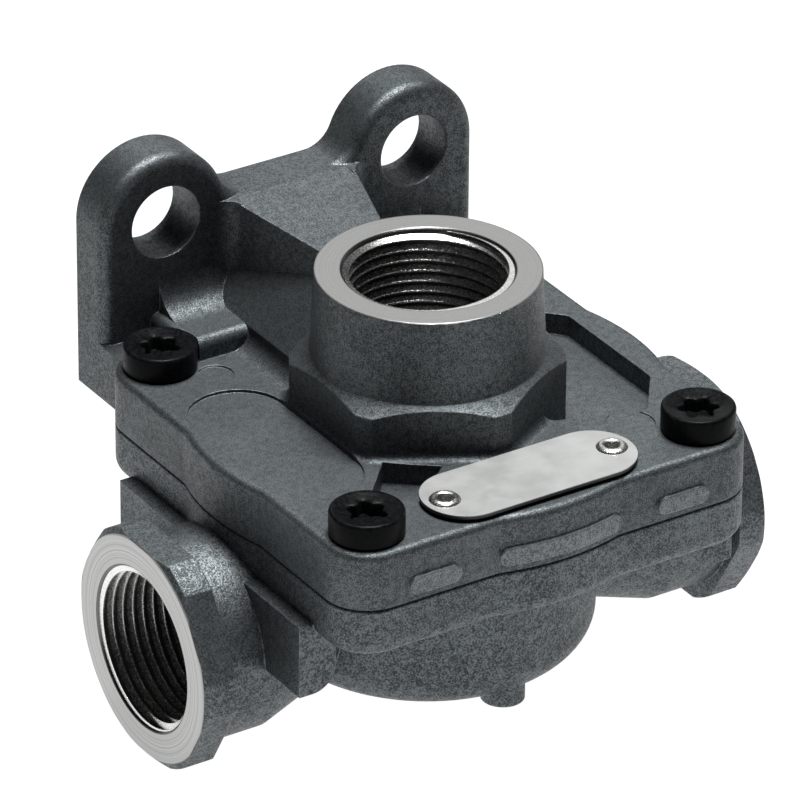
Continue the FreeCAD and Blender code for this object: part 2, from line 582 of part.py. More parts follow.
def lower_housing():
    base = flange("Base", "-cover_thick - base_thick", "base_thick", "-cover_thick")
    base_bottom = -size("cover_thick + base_thick")
    base = rounded("BaseRounded", base, "base_round", lambda e: at_height(e, base_bottom))
    bowl = cylinder("BowlRaw", "bowl_dia", "bowl_drop - cover_thick", ("0", "0", "-bowl_drop"))
    bowl_bottom = -size("bowl_drop")
    bowl = rounded("Bowl", bowl, "bowl_round", lambda e: at_height(e, bowl_bottom))
    body = fuse("BaseWithBowl", base, bowl)
    bowl_edge = size("bowl_dia") / 2
    body = rounded("BaseFilleted", body, "bowl_fillet",
                   lambda e: at_height(e, base_bottom) and abs(e.BoundBox.XMax - bowl_edge) < NEAR)
    port = side_port()
    nub = cylinder("Nub", "nub_dia", "nub_tall + bowl_floor",
                   ("0", "-nub_reach", "-bowl_drop - nub_tall"))
    body = fuse("LowerSolid", body, port, mirror("SidePortLeft", port), nub)

    # Inside: chamber, ring gallery round the outlet tube, and the passages to the ports
    joint = "-cover_thick"
    floor, deep = ("0", "0", "bowl_floor - bowl_drop"), "bowl_drop - bowl_floor - cover_thick"
    chamber = cylinder("LowerChamber", f"2 * {CHAMBER}", "chamber_drop",
                       ("0", "0", f"{joint} - chamber_drop"))
    gallery = cylinder("Gallery", "gallery_dia", deep, floor)
    tube = cylinder("OutletTube", "outlet_dia + 2 * tube_wall", f"{deep} - outlet_seat_drop", floor)
    hollow = cut("InnerHollow", fuse("InnerSpace", chamber, gallery), tube)
    outlet = cylinder("OutletBore", "outlet_dia", "bowl_drop - cover_thick", ("0", "0", "-bowl_drop"))
    outlet_mouth = cylinder("OutletMouth", "outlet_mouth_dia", "outlet_mouth_deep", ("0", "0", "-bowl_drop"))
    thread = cylinder("PortThread", "thread_dia", "thread_depth",
                      ("port_span / 2 - thread_depth", "0", "-port_drop"), "X")
    mouth = cone("PortLeadIn", "thread_dia", "thread_dia + 2 * lead_in", "lead_in",
                 ("port_span / 2 - lead_in", "0", "-port_drop"), "X")
    inner_end = "(outlet_dia / 2 + tube_wall + gallery_dia / 2) / 2"
    passage = cylinder("PortPassage", "passage_dia", f"port_span / 2 - thread_depth - {inner_end}",
                       (inner_end, "0", "-port_drop"), "X")
    way = fuse("PortWay", thread, mouth, passage)
    groove_foot = ("0", "0", f"{joint} - groove_depth")
    groove = cut("SealGroove", cylinder("GrooveOuter", f"2 * {GROOVE_OUTER}", "groove_depth", groove_foot),
                 cylinder("GrooveInner", f"2 * {GROOVE_INNER}", "groove_depth", groove_foot))
    return cut("lower_housing", body, hollow, outlet, outlet_mouth, way, mirror("PortWayLeft", way), groove,
               screw_holes("BaseScrewHoles", "-cover_thick - base_thick", "base_thick", "tapped_clearance"))


def diaphragm():
    """Rubber disc with a lip that hangs over the outlet seat."""
    low, top = DIAPHRAGM_LOW, f"{DIAPHRAGM_LOW} + diaphragm_thick"
    lip, rim = f"{low} - diaphragm_lip", f"{CHAMBER} - diaphragm_room"
    return turned("diaphragm", [
        ("0", low), (f"{rim} - lip_width", low), (f"{rim} - lip_width / 2", lip),
        (rim, lip), (rim, top), ("0", top)])


def housing_seal():
    """Square-cut ring that fills the groove between the housings."""
    middle = f"({GROOVE_OUTER} + {GROOVE_INNER}) / 2"
    inner, outer = f"{middle} - seal_section / 2", f"{middle} + seal_section / 2"
    top, bottom = "-cover_thick", "-cover_thick - seal_section"
    return turned("housing_seal", [
        (f"{inner} + seal_chamfer", bottom), (f"{outer} - seal_chamfer", bottom),
        (outer, f"{bottom} + seal_chamfer"), (outer, f"{top} - seal_chamfer"),
        (f"{outer} - seal_chamfer", top), (f"{inner} + seal_chamfer", top),
        (inner, f"{top} - seal_chamfer"), (inner, f"{bottom} + seal_chamfer")])


def cover_screw(side, place):
    """Low cheese-head screw with a six-lobe recess."""
    name = f"screw_{side}"
    x, y = place
    shank = cylinder(f"{name}Shank", "screw_dia", "screw_reach", (x, y, "-screw_reach"))
    head = cylinder(f"{name}HeadRaw", "screw_head_dia", "screw_head_tall", (x, y, "0"))
    top = size("screw_head_tall")
    head = rounded(f"{name}Head", head, "screw_head_round", lambda e: at_height(e, top))
    low = "screw_head_tall - drive_depth"
    lobes = [cylinder(f"{name}Lobe{i}", "drive_lobe_dia", "drive_depth",
                      (f"{x} + drive_dia / 2 * cos({60 * i})", f"{y} + drive_dia / 2 * sin({60 * i})", low))
             for i in range(6)]
    core = cylinder(f"{name}Core", "drive_dia", "drive_depth", (x, y, low))
    return cut(name, fuse(f"{name}Solid", shank, head), core, *lobes)


def label_plate():
    blank = stadium("LabelBlank", LABEL_LONG, LABEL_WIDE, ("-label_side", "-" + LABEL_REACH, "label_pad"),
                    "label_thick")
    holes = [cylinder(f"LabelHole{side}", "rivet_dia + 2 * rivet_clearance", "label_thick",
                      (f"{sign}{RIVET_AT} - label_side", "-" + LABEL_REACH, "label_pad"))
             for side, sign in (("Left", "-"), ("Right", ""))]
    return cut("label_plate", blank, *holes)


def label_rivet(side, sign):
    """Tubular rivet whose rolled head holds the label plate."""
    name = f"label_rivet_{side}"
    x, y = f"{sign}{RIVET_AT} - label_side", "-" + LABEL_REACH
    shank = cylinder(f"{name}Shank", "rivet_dia", "rivet_reach + label_thick",
                     (x, y, "label_pad - rivet_reach"))
    head = cone(f"{name}Head", "rivet_head_dia", "rivet_head_dia - rivet_head_tall", "rivet_head_tall",
                (x, y, "label_pad + label_thick"))
    hole = cylinder(f"{name}Hole", "rivet_hole_dia", "rivet_head_tall + 2 * label_thick",
                    (x, y, "label_pad - label_thick"))
    return cut(name, fuse(f"{name}Solid", shank, head), hole)


pieces = {
    "upper_housing": upper_housing(),
    "lower_housing": lower_housing(),
    "diaphragm": diaphragm(),
    "housing_seal": housing_seal(),
    "label_plate": label_plate(),
}
for side, place in SCREWS.items():
    pieces[f"cover_screw_{side}"] = cover_screw(side, place)
for side, sign in (("left", "-"), ("right", "")):
    pieces[f"label_rivet_{side}"] = label_rivet(side, sign)

for name, piece in pieces.items():
    piece.Label = name
    put(piece, ("0", "-plate_reach - plate_thick", "-hole_rise"))
doc.recompute()

faults = [thing.Name for thing in doc.Objects if {"Invalid", "Error"} & set(thing.State)]
for name, piece in pieces.items():
    if piece.Shape.isNull() or not piece.Shape.isValid() or len(piece.Shape.Solids) != 1:
        faults.append(name)
if faults:
    raise SystemExit("not built: " + ", ".join(faults))

os.makedirs("parts", exist_ok=True)
for name, piece in pieces.items():
    piece.Shape.exportStep(f"parts/{name}.step")
    print(f"{name}: {piece.Shape.Volume:.0f} mm3")
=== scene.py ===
import json
from math import cos, pi, radians, sin

import bmesh
import bpy
from mathutils import Matrix, Vector


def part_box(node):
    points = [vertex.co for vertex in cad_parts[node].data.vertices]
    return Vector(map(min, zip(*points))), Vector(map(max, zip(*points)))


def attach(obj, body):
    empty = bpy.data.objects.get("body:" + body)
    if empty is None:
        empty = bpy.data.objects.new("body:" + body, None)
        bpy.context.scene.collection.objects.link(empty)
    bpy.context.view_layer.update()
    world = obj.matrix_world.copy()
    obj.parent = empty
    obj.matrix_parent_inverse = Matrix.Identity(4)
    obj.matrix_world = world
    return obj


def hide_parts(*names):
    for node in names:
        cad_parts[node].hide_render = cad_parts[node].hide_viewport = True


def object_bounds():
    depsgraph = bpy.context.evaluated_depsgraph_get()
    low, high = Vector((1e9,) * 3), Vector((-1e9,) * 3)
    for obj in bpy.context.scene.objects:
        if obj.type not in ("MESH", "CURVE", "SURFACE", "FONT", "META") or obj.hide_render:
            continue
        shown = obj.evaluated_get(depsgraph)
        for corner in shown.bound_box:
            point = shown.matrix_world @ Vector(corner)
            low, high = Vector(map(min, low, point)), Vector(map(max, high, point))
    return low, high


# A pneumatic quick release valve: two dark die-cast housings with bright machined port faces,
# black six-lobe screws and a blank riveted label plate. Lengths are in metres.

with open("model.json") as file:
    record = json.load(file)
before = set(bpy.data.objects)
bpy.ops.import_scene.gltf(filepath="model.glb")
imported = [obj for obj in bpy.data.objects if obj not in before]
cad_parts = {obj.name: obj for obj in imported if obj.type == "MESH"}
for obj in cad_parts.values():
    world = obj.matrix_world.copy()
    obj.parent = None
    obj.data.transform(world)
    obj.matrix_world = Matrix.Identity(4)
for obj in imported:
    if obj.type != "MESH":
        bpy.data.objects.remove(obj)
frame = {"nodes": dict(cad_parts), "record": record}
CAD_LOW, CAD_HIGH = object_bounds()
NODES = frame["nodes"]
MOUNTS = {mount["name"]: mount for mount in frame["record"]["mounts"]}
MM = 0.001

# Cover screw: a low cheese head with a six-lobe recess
SCREW_TALL = 3.5 * MM
SCREW_HEAD = 4.85 * MM
SHANK_RADIUS = 3.0 * MM
SHANK_LONG = 14.0 * MM
LOBE_MEAN = 2.33 * MM
LOBE_DEEP = 0.37 * MM
RECESS_DEEP = 2.2 * MM
LOBES = 6
FIRST_TURN = 0.3
NEXT_TURN = 0.45


def half_length(mount):
    return mount["dims"]["length_mm"] / 2 * MM


# Ports, as the record gives them: each centre is half way along the bore
SUPPLY = MOUNTS["supply_port"]
DELIVERY = [MOUNTS["delivery_port_left"], MOUNTS["delivery_port_right"]]
PORT_RADIUS = SUPPLY["dims"]["r_mm"] * MM
PORT_CENTRE = Vector(SUPPLY["pos_m"])
SIDE_CENTRE = Vector(DELIVERY[0]["pos_m"])
RIM_BEVEL = 0.3 * MM
BOSS_TOP = PORT_CENTRE.z + half_length(SUPPLY) + RIM_BEVEL
SIDE_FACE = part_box("lower_housing")[1].x
FLANGE_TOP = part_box("cover_screw_front_left")[1].z - SCREW_TALL
LABEL_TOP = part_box("label_plate")[1].z

# Machined faces lie within this distance of a port's axis
FACE_REACH = 16.5 * MM

# Metric fine thread: distance between turns, depth, and flat at the crest and the root
THREAD_PITCH = 1.5 * MM
THREAD_DEPTH = 0.81 * MM
THREAD_CREST = THREAD_PITCH / 8
THREAD_ROOT = THREAD_PITCH / 4
THREAD_STEPS = 96
WALL_BITE = 0.12 * MM
PAST_FACE = 0.3 * THREAD_PITCH

# Rivet: height of the rolled head above the label, and depth of its hole
RIVET_RISE = 0.45 * MM
RIVET_HOLE = 3.0 * MM

# Raised bars on the front edge of the cover that are rubbed bare: middle and half length of each
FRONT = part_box("upper_housing")[0].y
BAR_HEIGHT = FLANGE_TOP - 5.6 * MM
BAR_HALF = 1.35 * MM
BARS = ((0.0, 9.3 * MM), (18.7 * MM, 4.0 * MM), (-18.7 * MM, 4.0 * MM))
SIDE_BAR_BACK = 1.3 * MM
BAR_BEFORE = 0.2 * MM
BAR_BEHIND = 0.35 * MM
MIDDLE_BAR_DEEP = 1.0 * MM

# Colours
COVER_DARK, COVER_LIGHT = (0.043, 0.049, 0.052), (0.132, 0.147, 0.153)
BASE_DARK, BASE_LIGHT = (0.042, 0.049, 0.052), (0.150, 0.167, 0.174)
SPECK_COLOUR = (0.30, 0.33, 0.34)
# The worn colours paint outer edges light, partly as rubbed wear and partly as painted highlight
WORN_AND_HIGHLIT_CASTING = (0.36, 0.39, 0.40)
RUBBED_CASTING = (0.24, 0.26, 0.27)
TURNED_DARK, TURNED_LIGHT = (0.34, 0.345, 0.34), (0.46, 0.465, 0.455)
# Painted shade: colour of the inside of a port's bore
BORE_SHADE = (0.04, 0.04, 0.04)
THREAD_DARK, THREAD_LIGHT = (0.62, 0.62, 0.61), (0.94, 0.94, 0.93)
RIVET_DARK, RIVET_LIGHT = (0.45, 0.45, 0.44), (0.70, 0.70, 0.68)
WORN_AND_HIGHLIT_STEEL = (0.82, 0.82, 0.80)
SCREW_DARK, SCREW_LIGHT = (0.002, 0.0023, 0.0026), (0.006, 0.0066, 0.007)
WORN_AND_HIGHLIT_SCREW = (0.05, 0.05, 0.05)
LABEL_DARK, LABEL_LIGHT = (0.315, 0.32, 0.315), (0.355, 0.36, 0.355)
WORN_AND_HIGHLIT_LABEL = (0.50, 0.50, 0.49)
# Painted shade: colour of the label plate's side faces
LABEL_SIDE_SHADE = (0.03, 0.03, 0.03)
RUBBER_DARK, RUBBER_LIGHT = (0.010, 0.010, 0.010), (0.030, 0.030, 0.031)
FLOOR_DARK, FLOOR_LIGHT = (0.10, 0.10, 0.10), (0.11, 0.11, 0.11)
FLOOR_FAR = (0.05, 0.05, 0.05)
WHITE = (1.0, 1.0, 1.0, 1.0)

# The floor gives off light within a distance of the valve, so that no shadow shows there,
# and less light beyond it
FLOOR_GLOW = 1.0
FAR_GLOW = 0.35
GLOW_REACH = 0.22
GLOW_END = 0.44
FLOOR_SIZE = 6.0
WORLD_STRENGTH = 0.02

# Lights: name, place, side length and power
LIGHTS = (
    ("key", (0.12, 0.02, 0.95), 0.30, 19.0),
    ("back", (0.55, 0.95, 0.50), 0.80, 1.7),
    ("right", (0.95, 0.10, 0.25), 0.50, 0.25))

# Camera, at the photograph's viewing angle
AZIMUTH = radians(32.724)
ELEVATION = radians(29.324)
ROLL = radians(-0.434)
DISTANCE = 0.999094
AIM = PORT_CENTRE + Vector((0, 0, FLANGE_TOP - PORT_CENTRE.z))
SIDEWAYS = -3.512 * MM
UPWARDS = -0.340 * MM
LENS = 349.907
SENSOR = 36.0


def connect(tree, socket, value):
    """Links a value that is a socket, and sets any other value."""
    if isinstance(value, bpy.types.NodeSocket):
        tree.links.new(value, socket)
    else:
        socket.default_value = value


def add(tree, kind, inputs=None, **settings):
    """A node with its settings and inputs."""
    made = tree.nodes.new(kind)
    for key, value in settings.items():
        setattr(made, key, value)
    for key, value in (inputs or {}).items():
        connect(tree, made.inputs[key], value)
    return made


def maths(tree, operation, *values):
    made = add(tree, "ShaderNodeMath", dict(enumerate(values)), operation=operation)
    return made.outputs["Value"]


def vector_maths(tree, operation, first, second):
    """The node for one step of vector arithmetic."""
    return add(tree, "ShaderNodeVectorMath", {0: first, 1: second}, operation=operation)


def ramp(tree, value, low, high, to_low=0.0, to_high=1.0):
    """Smooth step of a value from one level to another."""
    made = add(tree, "ShaderNodeMapRange", {
        "Value": value, "From Min": low, "From Max": high, "To Min": to_low, "To Max": to_high},
        interpolation_type="SMOOTHSTEP")
    return made.outputs["Result"]


def blend(tree, mask, first, second):
    """First colour where the mask is 0, second where it is 1."""
    made = add(tree, "ShaderNodeMix", data_type="RGBA")
    connect(tree, made.inputs[0], mask)
    for index, colour in ((6, first), (7, second)):
        if not isinstance(colour, bpy.types.NodeSocket):
            colour = (*colour, 1.0)
        connect(tree, made.inputs[index], colour)
    return made.outputs[2]


def start_group(name, inputs, outputs):
    """An empty shader node group with named sockets."""
    tree = bpy.data.node_groups.new(name, "ShaderNodeTree")
    for label, kind, value in inputs:
        socket = tree.interface.new_socket(
            label, in_out="INPUT", socket_type=f"NodeSocket{kind}")
        if value is not None:
            socket.default_value = value
    for label, kind in outputs:
        tree.interface.new_socket(label, in_out="OUTPUT", socket_type=f"NodeSocket{kind}")
    given = tree.nodes.new("NodeGroupInput").outputs
    return tree, given, tree.nodes.new("NodeGroupOutput").inputs


def use(tree, group, inputs):
    """A group placed in a material with its own values; returns its outputs."""
    made = tree.nodes.new("ShaderNodeGroup")
    made.node_tree = group
    for key, value in inputs.items():
        connect(tree, made.inputs[key], value)
    return made.outputs


def noise(tree, position, size, detail=2.0, roughness=0.55, offset=(0.0, 0.0, 0.0)):
    """Noise whose lumps are about one size across."""
    moved = vector_maths(tree, "ADD", position, offset)
    made = add(tree, "ShaderNodeTexNoise", {
        "Vector": moved.outputs["Vector"], "Scale": maths(tree, "DIVIDE", 1.0, size),
        "Detail": detail, "Roughness": roughness})
    return made.outputs["Fac"]


def casting_grain():
    """Sandy grain of a blasted die casting: tone, bright specks and height."""
    tree, given, out = start_group(
        "Casting grain",
        [("Position", "Vector", None), ("Grain", "Float", 0.0003), ("Speck", "Float", 0.3)],
        [("Tone", "Float"), ("Specks", "Float"), ("Height", "Float")])

    def layer(times, **settings):
        size = maths(tree, "MULTIPLY", given["Grain"], times)
        return noise(tree, given["Position"], size, **settings)

    fine = noise(tree, given["Position"], given["Grain"], detail=2.5, roughness=0.65)
    lumps = layer(4.0, detail=3.0)
    cloud = layer(40.0, detail=2.0)
    spark = layer(0.8, detail=1.0, offset=(0.31, 0.17, 0.53))
    tone = maths(tree, "ADD", maths(tree, "MULTIPLY", fine, 0.64),
                 maths(tree, "MULTIPLY", lumps, 0.26))
    tone = maths(tree, "ADD", tone, maths(tree, "MULTIPLY", cloud, 0.10))
    tree.links.new(ramp(tree, tone, 0.40, 0.60), out["Tone"])
    bar = maths(tree, "SUBTRACT", 0.78, maths(tree, "MULTIPLY", given["Speck"], 0.3))
    tree.links.new(ramp(tree, spark, bar, maths(tree, "ADD", bar, 0.06)), out["Specks"])
    height = maths(tree, "ADD", fine, maths(tree, "MULTIPLY", lumps, 0.8))
    tree.links.new(height, out["Height"])
    return tree


def edge_wear_and_highlight():
    """Rounded normals, and a mask that is 1 on outer edges, which are painted light both as
    rubbed wear and as highlight.
    """
    tree, given, out = start_group(
        "Edge wear and highlight",
        [("Position", "Vector", None), ("Radius", "Float", 0.0005), ("Grit", "Float", 0.0008)],
        [("Edge", "Float"), ("Normal", "Vector")])
    bevel = add(tree, "ShaderNodeBevel", {"Radius": given["Radius"]}, samples=6)
    surface = tree.nodes.new("ShaderNodeNewGeometry")
    turned = vector_maths(
        tree, "DOT_PRODUCT", bevel.outputs["Normal"], surface.outputs["Normal"])
    away = maths(tree, "SUBTRACT", 1.0, turned.outputs["Value"])
    patchy = ramp(tree, noise(tree, given["Position"], given["Grit"], detail=3.0), 0.35, 0.6)
    # Outer edges: painted highlight and rubbed wear together
    edge = ramp(tree, away, 0.01, 0.14)
    tree.links.new(maths(tree, "MULTIPLY", edge, patchy), out["Edge"])
    tree.links.new(bevel.outputs["Normal"], out["Normal"])
    return tree


def turning_marks():
    """Rings round an axis: distance from it, light and dark rings, and their height."""
    tree, given, out = start_group(
        "Turning marks",
        [("Position", "Vector", None), ("Centre", "Vector", None),
         ("Across", "Vector", (1.0, 1.0, 0.0)), ("Feed", "Float", 0.00015)],
        [("Radius", "Float"), ("Rings", "Float"), ("Height", "Float")])
    arm = vector_maths(tree, "SUBTRACT", given["Position"], given["Centre"])
    flat = vector_maths(tree, "MULTIPLY", arm.outputs["Vector"], given["Across"])
    length = add(
        tree, "ShaderNodeVectorMath", {0: flat.outputs["Vector"]}, operation="LENGTH")
    radius = length.outputs["Value"]
    rings = add(tree, "ShaderNodeTexNoise", {
        "W": maths(tree, "DIVIDE", radius, given["Feed"]),
        "Scale": 0.6, "Detail": 3.0, "Roughness": 0.7}, noise_dimensions="1D").outputs["Fac"]
    tree.links.new(radius, out["Radius"])
    tree.links.new(ramp(tree, rings, 0.3, 0.7), out["Rings"])
    tree.links.new(rings, out["Height"])
    return tree


def box_mask():
    """1 inside a box, 0 outside, with a soft edge just within it."""
    tree, given, out = start_group(
        "Box mask",
        [("Position", "Vector", None), ("Low", "Vector", None), ("High", "Vector", None)],
        [("Inside", "Float")])
    above = vector_maths(tree, "SUBTRACT", given["Position"], given["Low"])
    below = vector_maths(tree, "SUBTRACT", given["High"], given["Position"])
    least = vector_maths(tree, "MINIMUM", above.outputs["Vector"], below.outputs["Vector"])
    parts = add(tree, "ShaderNodeSeparateXYZ", {"Vector": least.outputs["Vector"]}).outputs
    nearest = maths(tree, "MINIMUM", maths(tree, "MINIMUM", parts["X"], parts["Y"]), parts["Z"])
    tree.links.new(ramp(tree, nearest, 0.0, 0.15 * MM), out["Inside"])
    return tree


GRAIN = casting_grain()
WEAR_AND_HIGHLIGHT = edge_wear_and_highlight()
TURNING = turning_marks()
BOX = box_mask()


def start_material(name):
    """A new material: its tree, its Principled shader and the object position."""
    made = bpy.data.materials.new(name)
    made.use_nodes = True
    tree = made.node_tree
    shader = tree.nodes["Principled BSDF"]
    position = tree.nodes.new("ShaderNodeTexCoord").outputs["Object"]
    return made, tree, shader, position


def roughen(tree, shader, height, distance, normal=None):
    """Fine relief on the surface, over a normal if one is given."""
    inputs = {"Height": height, "Distance": distance}
    if normal is not None:
        inputs["Normal"] = normal
    bump = add(tree, "ShaderNodeBump", inputs)
    tree.links.new(bump.outputs["Normal"], shader.inputs["Normal"])


def port_faces(tree, position, which):
    """Masks of a port's machined surfaces and of its bore alone, and its turning marks."""
    parts = add(tree, "ShaderNodeSeparateXYZ", {"Vector": position}).outputs
    if which == "supply":
        along, face, centre, across = parts["Z"], BOSS_TOP, PORT_CENTRE, (1.0, 1.0, 0.0)
        inner = PORT_CENTRE.z - half_length(SUPPLY)
    else:
        along = maths(tree, "ABSOLUTE", parts["X"])
        face, centre, across = SIDE_FACE, SIDE_CENTRE, (0.0, 1.0, 1.0)
        inner = abs(SIDE_CENTRE.x) - half_length(DELIVERY[0])
    marks = use(tree, TURNING, {"Position": position, "Centre": centre, "Across": across})
    end = ramp(tree, along, face - 0.14 * MM, face - 0.08 * MM)
    within = ramp(tree, marks["Radius"], FACE_REACH, FACE_REACH - 0.1 * MM)
    end = maths(tree, "MULTIPLY", end, within)
    near_axis = ramp(
        tree, marks["Radius"], PORT_RADIUS + 0.35 * MM, PORT_RADIUS + 0.3 * MM)
    bore = maths(tree, "MULTIPLY", near_axis, ramp(tree, along, inner - 0.1 * MM, inner))
    return maths(tree, "MAXIMUM", end, bore), bore, marks


def cast_metal(name, which, dark, light, grain, speck, depth, rubbed=()):
    """Dark die-cast aluminium, bright where it is machined or rubbed, with outer edges painted
    light as wear and highlight, and port bores painted near black as shade.
    """
    made, tree, shader, position = start_material(name)
    cast = use(tree, GRAIN, {"Position": position, "Grain": grain, "Speck": speck})
    wear_and_highlight = use(tree, WEAR_AND_HIGHLIGHT, {"Position": position, "Radius": 0.35 * MM, "Grit": 1.1 * MM})
    machined, bore, marks = port_faces(tree, position, which)

    colour = blend(tree, cast["Tone"], dark, light)
    colour = blend(tree, maths(tree, "MULTIPLY", cast["Specks"], 0.5), colour, SPECK_COLOUR)
    # Outer edges painted light as wear and as highlight
    colour = blend(tree, maths(tree, "MULTIPLY", wear_and_highlight["Edge"], 0.5), colour, WORN_AND_HIGHLIT_CASTING)
    if rubbed:
        bare = 0.0
        for low, high in rubbed:
            inside = use(tree, BOX, {"Position": position, "Low": low, "High": high})["Inside"]
            bare = maths(tree, "MAXIMUM", bare, inside)
        scuffed = maths(tree, "MULTIPLY", bare, ramp(tree, cast["Tone"], 0.0, 0.8, 0.2, 0.7))
        colour = blend(tree, scuffed, colour, RUBBED_CASTING)
    bright = blend(tree, marks["Rings"], TURNED_DARK, TURNED_LIGHT)
    # The bore is painted near black as shade inside the hole
    bright = blend(tree, maths(tree, "MULTIPLY", bore, 0.75), bright, BORE_SHADE)
    tree.links.new(blend(tree, machined, colour, bright), shader.inputs["Base Color"])

    rough = ramp(tree, cast["Tone"], 0.0, 1.0, 0.58, 0.46)
    turned = ramp(tree, marks["Rings"], 0.0, 1.0, 0.40, 0.26)
    rough = add(tree, "ShaderNodeMix", {0: machined, 2: rough, 3: turned}).outputs[0]
    tree.links.new(rough, shader.inputs["Roughness"])
    tree.links.new(ramp(tree, machined, 0.0, 1.0, 0.80, 1.0), shader.inputs["Metallic"])

    grooves = maths(tree, "MULTIPLY", marks["Height"], 0.25)
    height = add(tree, "ShaderNodeMix", {0: machined, 2: cast["Height"], 3: grooves}).outputs[0]
    roughen(tree, shader, height, depth, wear_and_highlight["Normal"])
    return made


def black_steel():
    """Black coated screw, its edges painted lighter both as rubbed wear and as highlight."""
    made, tree, shader, position = start_material("screw_black")
    wear_and_highlight = use(tree, WEAR_AND_HIGHLIGHT, {"Position": position, "Radius": 0.2 * MM, "Grit": 0.6 * MM})
    film = noise(tree, position, 0.5 * MM, detail=3.0)
    colour = blend(tree, ramp(tree, film, 0.35, 0.7), SCREW_DARK, SCREW_LIGHT)
    # Screw edges painted lighter as wear and as highlight
    colour = blend(tree, maths(tree, "MULTIPLY", wear_and_highlight["Edge"], 0.15), colour, WORN_AND_HIGHLIT_SCREW)
    tree.links.new(colour, shader.inputs["Base Color"])
    tree.links.new(ramp(tree, film, 0.3, 0.7, 0.30, 0.44), shader.inputs["Roughness"])
    shader.inputs["Specular IOR Level"].default_value = 0.06
    roughen(tree, shader, film, 0.03 * MM, wear_and_highlight["Normal"])
    return made


def satin_plate():
    """Blank label plate of pale satin sheet, with faint rolling lines, and its side faces
    painted near black as shade.
    """
    made, tree, shader, position = start_material("label_satin")
    drawn = vector_maths(tree, "MULTIPLY", position, (0.06, 1.0, 1.0))
    lines = noise(tree, drawn.outputs["Vector"], 0.12 * MM, detail=3.0, roughness=0.7)
    smudge = noise(tree, position, 5.0 * MM, detail=3.0)
    wear_and_highlight = use(tree, WEAR_AND_HIGHLIGHT, {"Position": position, "Radius": 0.10 * MM, "Grit": 0.7 * MM})
    height = add(tree, "ShaderNodeSeparateXYZ", {"Vector": position}).outputs["Z"]
    # Everything below the label's top face is painted near black as shade
    top = ramp(tree, height, LABEL_TOP - 0.16 * MM, LABEL_TOP - 0.08 * MM)
    tone = maths(tree, "ADD", maths(tree, "MULTIPLY", lines, 0.4),
                 maths(tree, "MULTIPLY", smudge, 0.6))
    colour = blend(tree, ramp(tree, tone, 0.35, 0.65), LABEL_DARK, LABEL_LIGHT)
    # Label edges painted light as wear and as highlight
    colour = blend(tree, maths(tree, "MULTIPLY", wear_and_highlight["Edge"], 0.5), colour, WORN_AND_HIGHLIT_LABEL)
    tree.links.new(blend(tree, top, LABEL_SIDE_SHADE, colour), shader.inputs["Base Color"])
    tree.links.new(ramp(tree, smudge, 0.3, 0.7, 0.42, 0.54), shader.inputs["Roughness"])
    shader.inputs["Metallic"].default_value = 0.35
    roughen(tree, shader, lines, 0.008 * MM, wear_and_highlight["Normal"])
    return made


def bright_steel(name, dark, light, low_rough, high_rough):
    """Bare bright metal with fine scratches."""
    made, tree, shader, position = start_material(name)
    scratches = noise(tree, position, 0.25 * MM, detail=4.0, roughness=0.7)
    wear_and_highlight = use(tree, WEAR_AND_HIGHLIGHT, {"Position": position, "Radius": 0.12 * MM, "Grit": 0.5 * MM})
    colour = blend(tree, ramp(tree, scratches, 0.3, 0.7), dark, light)
    # Edges painted light as wear and as highlight
    colour = blend(tree, maths(tree, "MULTIPLY", wear_and_highlight["Edge"], 0.5), colour, WORN_AND_HIGHLIT_STEEL)
    tree.links.new(colour, shader.inputs["Base Color"])
    rough = ramp(tree, scratches, 0.3, 0.7, low_rough, high_rough)
    tree.links.new(rough, shader.inputs["Roughness"])
    shader.inputs["Metallic"].default_value = 1.0
    roughen(tree, shader, scratches, 0.02 * MM, wear_and_highlight["Normal"])
    return made


def black_rubber():
    """Matt black rubber of the diaphragm and the seal."""
    made, tree, shader, position = start_material("valve_rubber")
    grain = noise(tree, position, 0.4 * MM, detail=3.0)
    colour = blend(tree, ramp(tree, grain, 0.3, 0.7), RUBBER_DARK, RUBBER_LIGHT)
    tree.links.new(colour, shader.inputs["Base Color"])
    tree.links.new(ramp(tree, grain, 0.3, 0.7, 0.55, 0.75), shader.inputs["Roughness"])
    roughen(tree, shader, grain, 0.04 * MM)
    return made


def pale_floor():
    """White table that glows, most of all near the valve."""
    made, tree, shader, position = start_material("studio_floor")
    cloud = noise(tree, position, 0.4, detail=2.0)
    distance = add(
        tree, "ShaderNodeVectorMath", {0: position}, operation="LENGTH").outputs["Value"]
    near = ramp(tree, distance, GLOW_END, GLOW_REACH)
    white = blend(tree, cloud, FLOOR_DARK, FLOOR_LIGHT)
    tree.links.new(blend(tree, near, FLOOR_FAR, white), shader.inputs["Base Color"])
    glow = ramp(tree, distance, GLOW_END, GLOW_REACH, FAR_GLOW, FLOOR_GLOW)
    tree.links.new(glow, shader.inputs["Emission Strength"])
    shader.inputs["Roughness"].default_value = 0.9
    shader.inputs["Specular IOR Level"].default_value = 0.1
    shader.inputs["Emission Color"].default_value = WHITE
    return made


def finish_piece(shape, name, material, sharp=35):
    """An object from a bmesh, smooth except along edges sharper than an angle in degrees."""
    bmesh.ops.recalc_face_normals(shape, faces=shape.faces)
    for face in shape.faces:
        face.smooth = True
    for edge in shape.edges:
        if len(edge.link_faces) == 2:
            edge.smooth = edge.calc_face_angle() < radians(sharp)
    mesh = bpy.data.meshes.new(name)
    shape.to_mesh(mesh)
    shape.free()
    mesh.materials.append(material)
    made = bpy.data.objects.new(name, mesh)
    bpy.context.scene.collection.objects.link(made)
    return made


